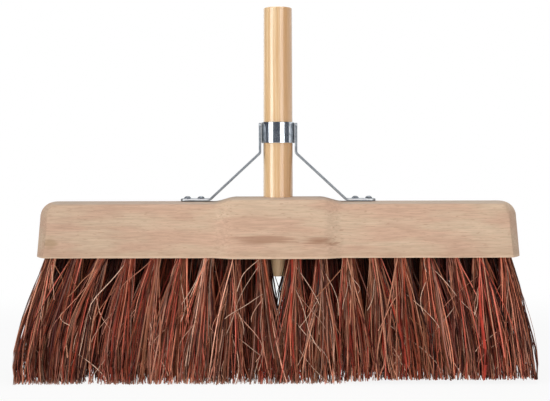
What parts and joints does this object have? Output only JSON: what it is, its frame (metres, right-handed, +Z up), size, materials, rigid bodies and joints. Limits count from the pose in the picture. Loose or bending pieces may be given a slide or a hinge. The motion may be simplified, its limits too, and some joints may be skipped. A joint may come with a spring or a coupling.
{
  "type": "street broom head",
  "caption": "Street broom head: wooden stock with raised saddle, columns of stiff fibre tufts, tapered round handle end and a two-legged steel stay with a bolted clamp band.",
  "frame": {"origin": "on the floor under the middle of the stock, level with the trimmed bristle tips", "axes": "+X along the stock, +Y to the back, where the clamp bolt is, +Z up the handle"},
  "size_m": [0.4826, 0.0976, 0.3492],
  "materials": {
    "stock_wood": "planed and sanded pale wood, unvarnished",
    "handle_wood": "clear gloss varnish over straight-grained pale wood",
    "zinc_steel": "bright zinc plating",
    "bristle_fibre": "stiff plant fibre in mixed red-brown and near-black, matt"
  },
  "bodies": {
    "head": {"stock": "stock_wood", "stay_left": "zinc_steel", "stay_right": "zinc_steel", "clamp_band": "zinc_steel", "clamp_bolt": "zinc_steel", "clamp_nut": "zinc_steel", "head_washer": "zinc_steel", "nut_washer": "zinc_steel", "stay_screw_left_1": "zinc_steel", "stay_screw_left_2": "zinc_steel", "stay_screw_right_1": "zinc_steel", "stay_screw_right_2": "zinc_steel", "tuft_column_left_1": "bristle_fibre", "tuft_column_left_2": "bristle_fibre", "tuft_column_left_3": "bristle_fibre", "tuft_column_left_4": "bristle_fibre", "tuft_column_left_5": "bristle_fibre", "tuft_column_left_6": "bristle_fibre", "tuft_column_left_7": "bristle_fibre", "tuft_column_left_8": "bristle_fibre", "tuft_column_left_9": "bristle_fibre", "tuft_column_right_1": "bristle_fibre", "tuft_column_right_2": "bristle_fibre", "tuft_column_right_3": "bristle_fibre", "tuft_column_right_4": "bristle_fibre", "tuft_column_right_5": "bristle_fibre", "tuft_column_right_6": "bristle_fibre", "tuft_column_right_7": "bristle_fibre", "tuft_column_right_8": "bristle_fibre", "tuft_column_right_9": "bristle_fibre"},
    "handle": {"handle": "handle_wood"}
  },
  "joints": [
    {"name": "handle_withdraw", "type": "slide", "parent": "head", "child": "handle", "axis": [0, 0, 1], "range_m": [0, 0.15]}
  ]
}
